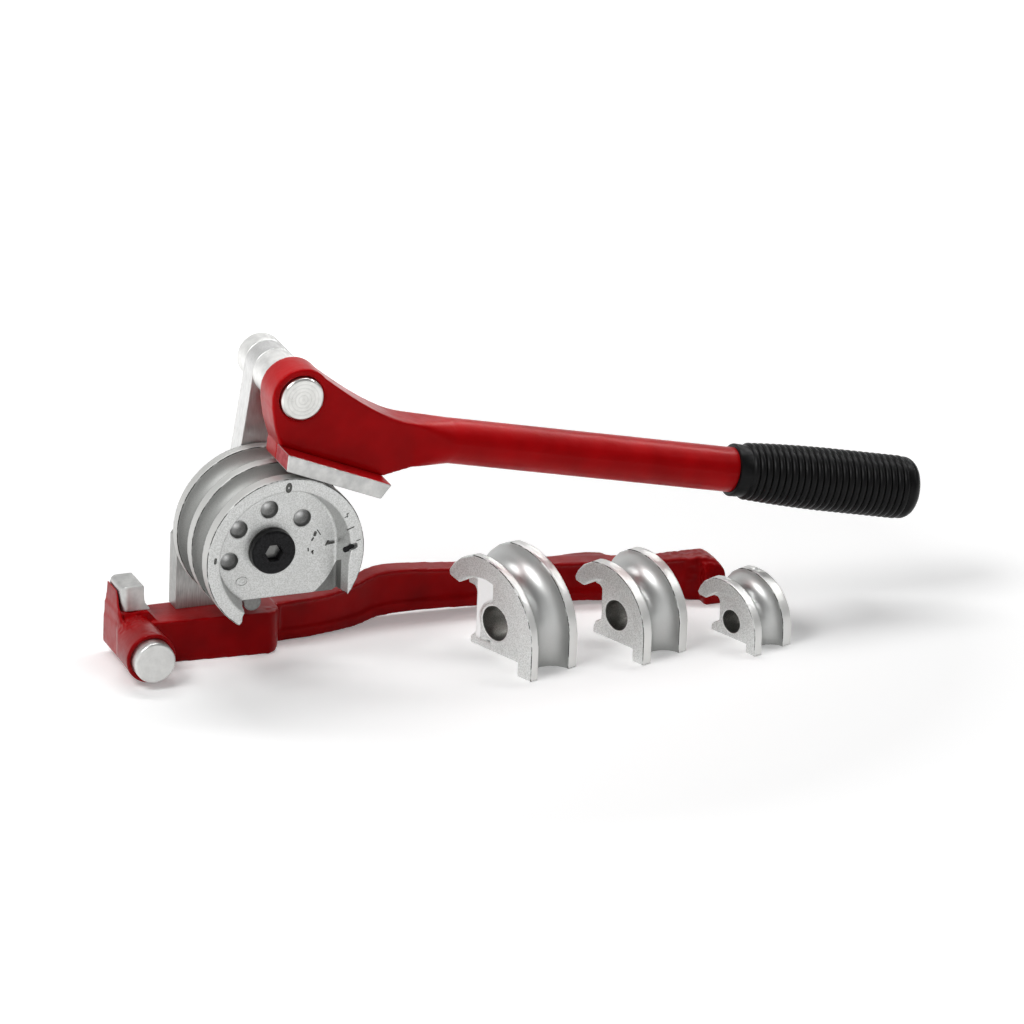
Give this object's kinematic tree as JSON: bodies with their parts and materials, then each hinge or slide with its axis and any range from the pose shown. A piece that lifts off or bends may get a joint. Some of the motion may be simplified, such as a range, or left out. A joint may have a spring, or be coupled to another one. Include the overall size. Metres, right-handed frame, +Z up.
{
  "type": "tube bender",
  "caption": "Hand tube bender: red frame with a two-groove former, swinging link, shoe lever with a ribbed grip, and a set of loose formers beside it.",
  "frame": {"origin": "on the bench under the spindle axis, at mid-depth of the frame's block", "axes": "+X along the tool towards the grip's end, +Y away from the front rim of the former, +Z up"},
  "size_m": [0.509, 0.1286, 0.2004],
  "materials": {
    "red_paint": "glossy red enamel over a rough casting",
    "tumbled_aluminium": "die cast and tumbled aluminium, satin",
    "bright_steel": "bright zinc plated steel, turned faces",
    "plate_steel": "bare steel plate, fine blasted",
    "dark_steel": "plain dark steel",
    "black_oxide": "black oxide on steel",
    "bronze": "bearing bronze",
    "black_rubber": "moulded black rubber, ribbed"
  },
  "bodies": {
    "base": {"frame": "red_paint", "stop_block": "bright_steel", "lower_pin": "bright_steel", "support_plate": "plate_steel", "support_screws": "dark_steel", "spindle": "dark_steel", "stop_pin": "dark_steel", "former_double": "tumbled_aluminium", "bolt_washer": "dark_steel", "former_bolt": "black_oxide"},
    "link": {"front_washer": "bronze", "rear_washer": "bronze", "spindle_bush": "bronze", "link_plate": "plate_steel", "top_pin": "bright_steel", "spacer_ring": "bright_steel", "hub_nut": "bright_steel"},
    "lever_arm": {"lever_bush": "bronze", "lever": "red_paint", "shoe": "plate_steel", "grip": "black_rubber"},
    "large_set": {"former_large": "tumbled_aluminium"},
    "medium_set": {"former_medium": "tumbled_aluminium"},
    "small_set": {"former_small": "tumbled_aluminium"}
  },
  "joints": [
    {"name": "link_swing", "type": "hinge", "parent": "base", "child": "link", "pos_m": [0, -0.006, 0.0875], "axis": [0, 1, 0], "range_deg": [-95, 6]},
    {"name": "lever_swing", "type": "hinge", "parent": "link", "child": "lever_arm", "pos_m": [0.01308, -0.0486, 0.1818], "axis": [0, 1, 0], "range_deg": [-80, 0]},
    {"name": "large_draw", "type": "slide", "parent": "base", "child": "large_set", "axis": [0, -1, 0], "range_m": [0, 0.15]},
    {"name": "medium_draw", "type": "slide", "parent": "base", "child": "medium_set", "axis": [0, -1, 0], "range_m": [0, 0.15]},
    {"name": "small_draw", "type": "slide", "parent": "base", "child": "small_set", "axis": [0, -1, 0], "range_m": [0, 0.15]}
  ]
}
